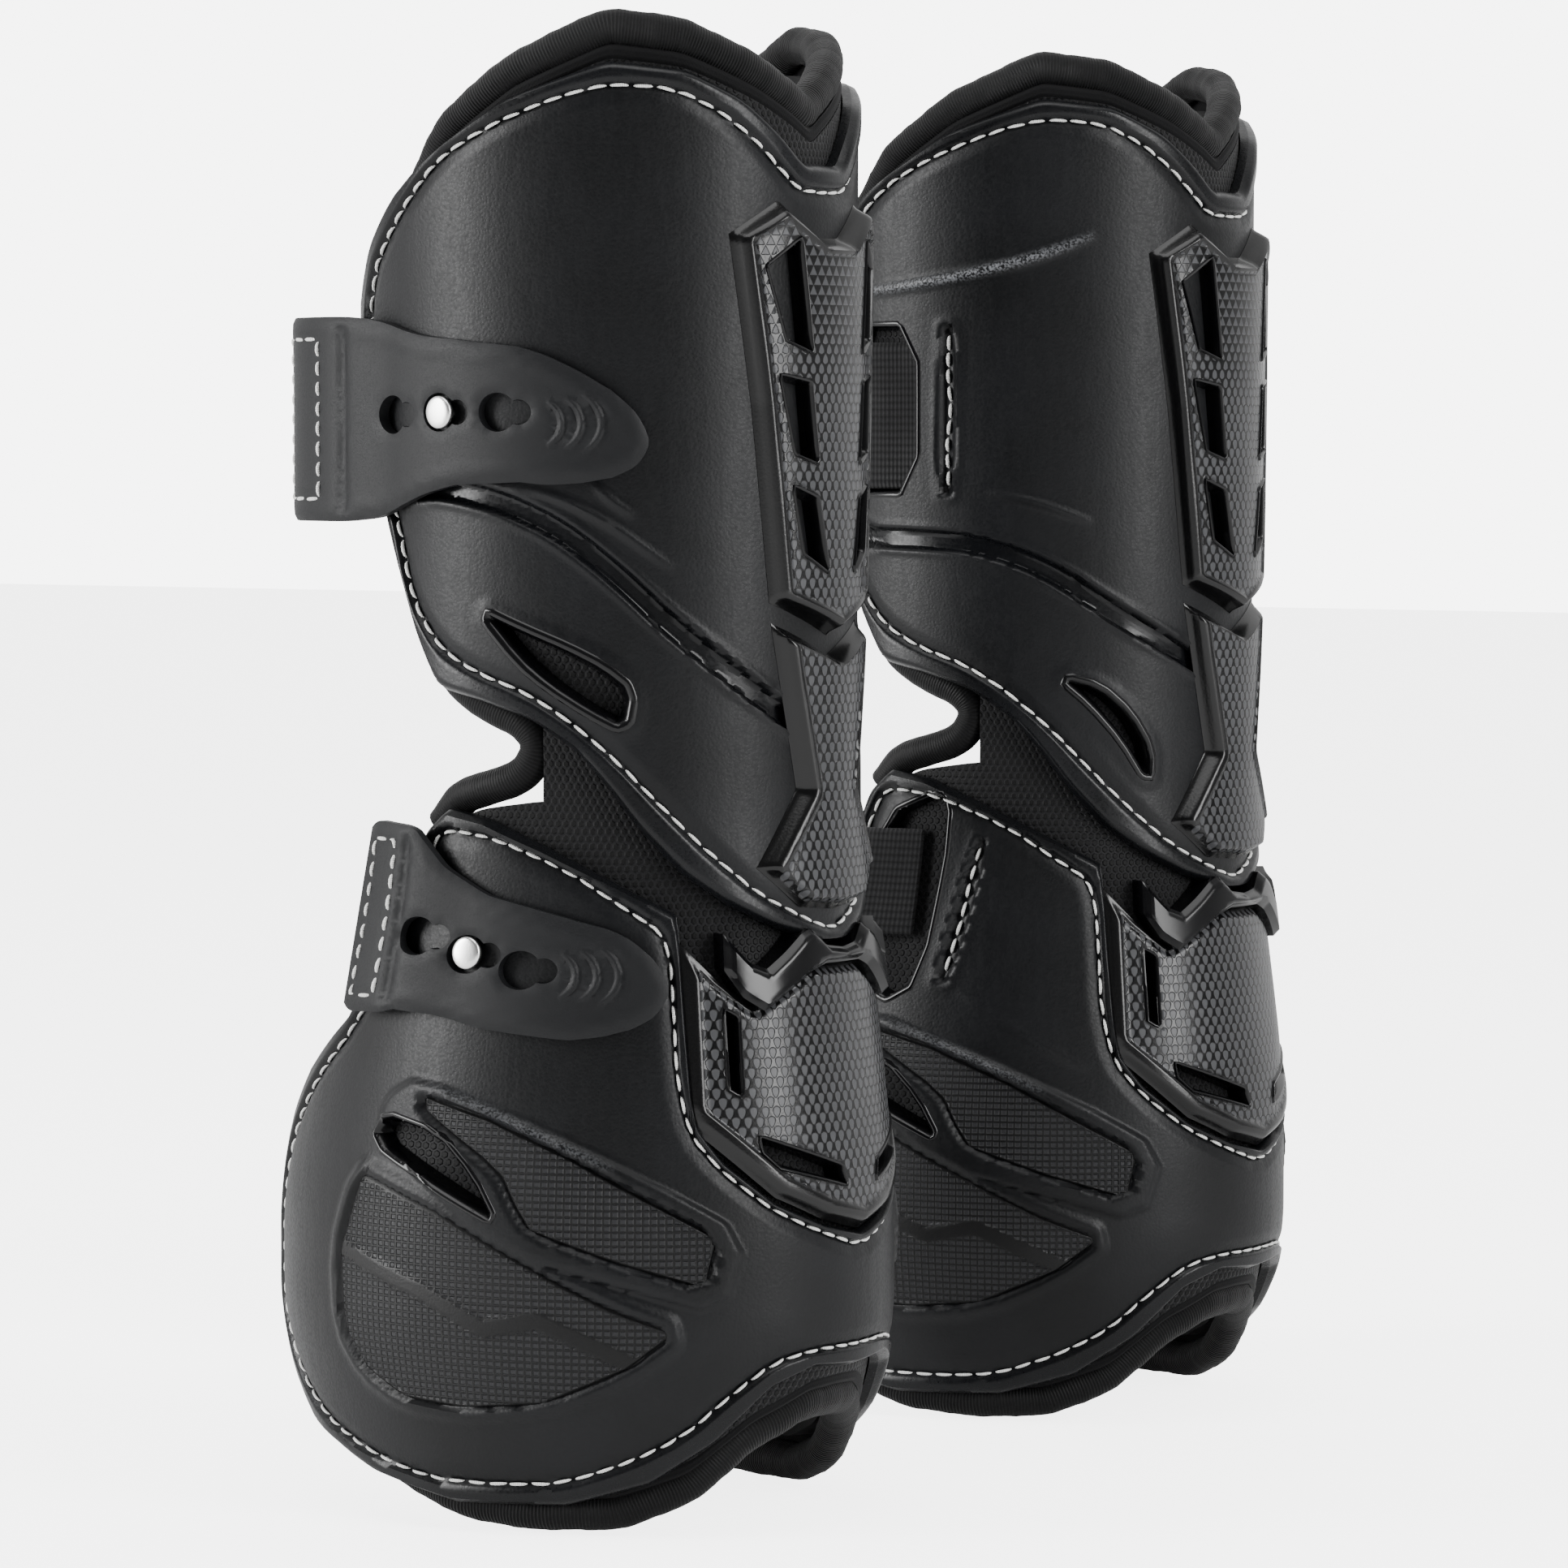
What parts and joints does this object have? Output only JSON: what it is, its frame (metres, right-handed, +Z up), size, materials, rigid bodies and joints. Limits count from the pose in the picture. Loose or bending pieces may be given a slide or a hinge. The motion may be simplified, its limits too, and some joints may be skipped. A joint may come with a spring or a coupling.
{
  "type": "horse leg boots",
  "caption": "Pair of open-fronted horse leg boots: hard tendon and fetlock shells over neoprene, joined by a flexing spine, closed by elastics with rubber tabs on studs.",
  "frame": {"origin": "under the middle of the pair's box, at the height of the lowest hem", "axes": "+Z up the leg; +X towards the back of the leg, where the strike guards are; the left boot stands at -Y and the right boot at +Y"},
  "size_m": [0.1449, 0.3068, 0.3366],
  "materials": {
    "shell": "satin moulded shell with a fine leather grain",
    "guard": "moulded scales, grey on black, with glossy bevelled borders",
    "bridge": "smooth glossy moulding",
    "mesh": "open hexagon spacer mesh",
    "neoprene": "matt neoprene foam with a knitted face",
    "roll": "neoprene roll gathered in fine ribs",
    "tab": "matt moulded rubber",
    "elastic": "woven elastic webbing",
    "stud": "polished stud head",
    "washer": "plain stamped washer",
    "grip": "matt rubber with a grid of small squares"
  },
  "bodies": {
    "left_upper": {"left_upper_shell": "shell", "left_upper_guard": "guard", "left_mid_guard": "guard", "left_upper_mesh": "mesh", "left_upper_liner": "neoprene", "left_top_roll": "roll", "left_notch_binding": "roll", "left_upper_tab_end": "tab", "left_upper_elastic": "elastic", "left_upper_stud": "stud", "left_upper_washer": "washer"},
    "left_lower": {"left_lower_shell": "shell", "left_lower_guard": "guard", "left_hinge_bridge": "bridge", "left_lower_mesh": "mesh", "left_lower_liner": "neoprene", "left_bottom_roll": "roll", "left_lower_tab_end": "tab", "left_lower_elastic": "elastic", "left_lower_stud": "stud", "left_lower_washer": "washer", "left_grip_pads": "grip"},
    "left_upper_tab_body": {"left_upper_tab": "tab"},
    "left_lower_tab_body": {"left_lower_tab": "tab"},
    "right_upper": {"right_upper_shell": "shell", "right_upper_guard": "guard", "right_mid_guard": "guard", "right_upper_mesh": "mesh", "right_upper_liner": "neoprene", "right_top_roll": "roll", "right_notch_binding": "roll", "right_upper_tab_end": "tab", "right_upper_elastic": "elastic", "right_upper_stud": "stud", "right_upper_washer": "washer"},
    "right_lower": {"right_lower_shell": "shell", "right_lower_guard": "guard", "right_hinge_bridge": "bridge", "right_lower_mesh": "mesh", "right_lower_liner": "neoprene", "right_bottom_roll": "roll", "right_lower_tab_end": "tab", "right_lower_elastic": "elastic", "right_lower_stud": "stud", "right_lower_washer": "washer", "right_grip_pads": "grip"},
    "right_upper_tab_body": {"right_upper_tab": "tab"},
    "right_lower_tab_body": {"right_lower_tab": "tab"}
  },
  "joints": [
    {"name": "left_fetlock_flex", "type": "hinge", "parent": "left_upper", "child": "left_lower", "pos_m": [0.06, -0.093, 0.13], "axis": [0, -1, 0], "range_deg": [-6, 10], "stiffness_Nm_per_rad": 3, "springref_deg": -4.01, "deforming": ["left_notch_binding"]},
    {"name": "left_upper_tab_fold", "type": "hinge", "parent": "left_upper", "child": "left_upper_tab_body", "pos_m": [-0.0405, -0.139, 0.247], "axis": [0, 0, -1], "range_deg": [0, 75], "stiffness_Nm_per_rad": 0.02},
    {"name": "left_lower_tab_fold", "type": "hinge", "parent": "left_lower", "child": "left_lower_tab_body", "pos_m": [-0.01986, -0.14967, 0.136], "axis": [-0.1122, -0.0816, -0.9903], "range_deg": [0, 75], "stiffness_Nm_per_rad": 0.02},
    {"name": "pair_spacing", "type": "slide", "parent": "left_upper", "child": "right_upper", "axis": [0, 1, 0], "range_m": [-0.04, 0.1]},
    {"name": "right_fetlock_flex", "type": "hinge", "parent": "right_upper", "child": "right_lower", "pos_m": [0.06, 0.093, 0.13], "axis": [0, -1, 0], "range_deg": [-6, 10], "stiffness_Nm_per_rad": 3, "springref_deg": -4.01, "deforming": ["right_notch_binding"]},
    {"name": "right_upper_tab_fold", "type": "hinge", "parent": "right_upper", "child": "right_upper_tab_body", "pos_m": [-0.0405, 0.139, 0.247], "axis": [0, 0, 1], "range_deg": [0, 75], "stiffness_Nm_per_rad": 0.02},
    {"name": "right_lower_tab_fold", "type": "hinge", "parent": "right_lower", "child": "right_lower_tab_body", "pos_m": [-0.01986, 0.14967, 0.136], "axis": [0.1122, -0.0816, 0.9903], "range_deg": [0, 75], "stiffness_Nm_per_rad": 0.02}
  ]
}
